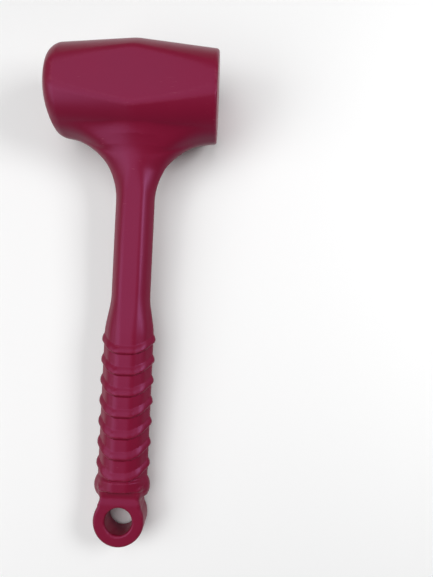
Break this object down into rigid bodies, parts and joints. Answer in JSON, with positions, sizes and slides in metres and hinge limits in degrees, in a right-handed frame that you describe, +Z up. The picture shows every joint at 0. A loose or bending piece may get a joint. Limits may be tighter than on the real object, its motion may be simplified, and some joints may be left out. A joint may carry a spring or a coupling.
{
  "type": "dead-blow mallet",
  "caption": "One-piece moulded urethane mallet with a flat and a domed face, a ribbed grip, a hanging eye and a steel core with loose shot.",
  "frame": {"origin": "middle of the mallet's box, on the surface that it lies on", "axes": "+X out of the flat striking face, +Y from the hanging eye towards the head, +Z up; the mallet lies on its back flat and the handle's end"},
  "size_m": [0.121, 0.3494, 0.0624],
  "materials": {
    "urethane": "satin crimson moulded urethane",
    "canister_steel": "plain drawn steel",
    "rod_steel": "bright drawn steel bar",
    "spring_steel": "blackened spring steel",
    "shot_steel": "polished steel balls"
  },
  "bodies": {
    "mallet": {"jacket": "urethane", "canister_tube": "canister_steel", "face_end_cap": "canister_steel", "dome_end_cap": "canister_steel", "rod_collar": "canister_steel", "handle_rod": "rod_steel", "spring_pin": "spring_steel"},
    "shot": {"shot_ball_01": "shot_steel", "shot_ball_02": "shot_steel", "shot_ball_03": "shot_steel", "shot_ball_04": "shot_steel", "shot_ball_05": "shot_steel", "shot_ball_06": "shot_steel", "shot_ball_07": "shot_steel", "shot_ball_08": "shot_steel", "shot_ball_09": "shot_steel", "shot_ball_10": "shot_steel", "shot_ball_11": "shot_steel", "shot_ball_12": "shot_steel", "shot_ball_13": "shot_steel", "shot_ball_14": "shot_steel", "shot_ball_15": "shot_steel", "shot_ball_16": "shot_steel", "shot_ball_17": "shot_steel", "shot_ball_18": "shot_steel", "shot_ball_19": "shot_steel", "shot_ball_20": "shot_steel", "shot_ball_21": "shot_steel", "shot_ball_22": "shot_steel", "shot_ball_23": "shot_steel", "shot_ball_24": "shot_steel", "shot_ball_25": "shot_steel", "shot_ball_26": "shot_steel", "shot_ball_27": "shot_steel", "shot_ball_28": "shot_steel", "shot_ball_29": "shot_steel", "shot_ball_30": "shot_steel", "shot_ball_31": "shot_steel", "shot_ball_32": "shot_steel", "shot_ball_33": "shot_steel"}
  },
  "joints": [
    {"name": "shot_surge", "type": "slide", "parent": "mallet", "child": "shot", "axis": [1, 0, 0], "range_m": [-0.0094, 0.0094]}
  ]
}
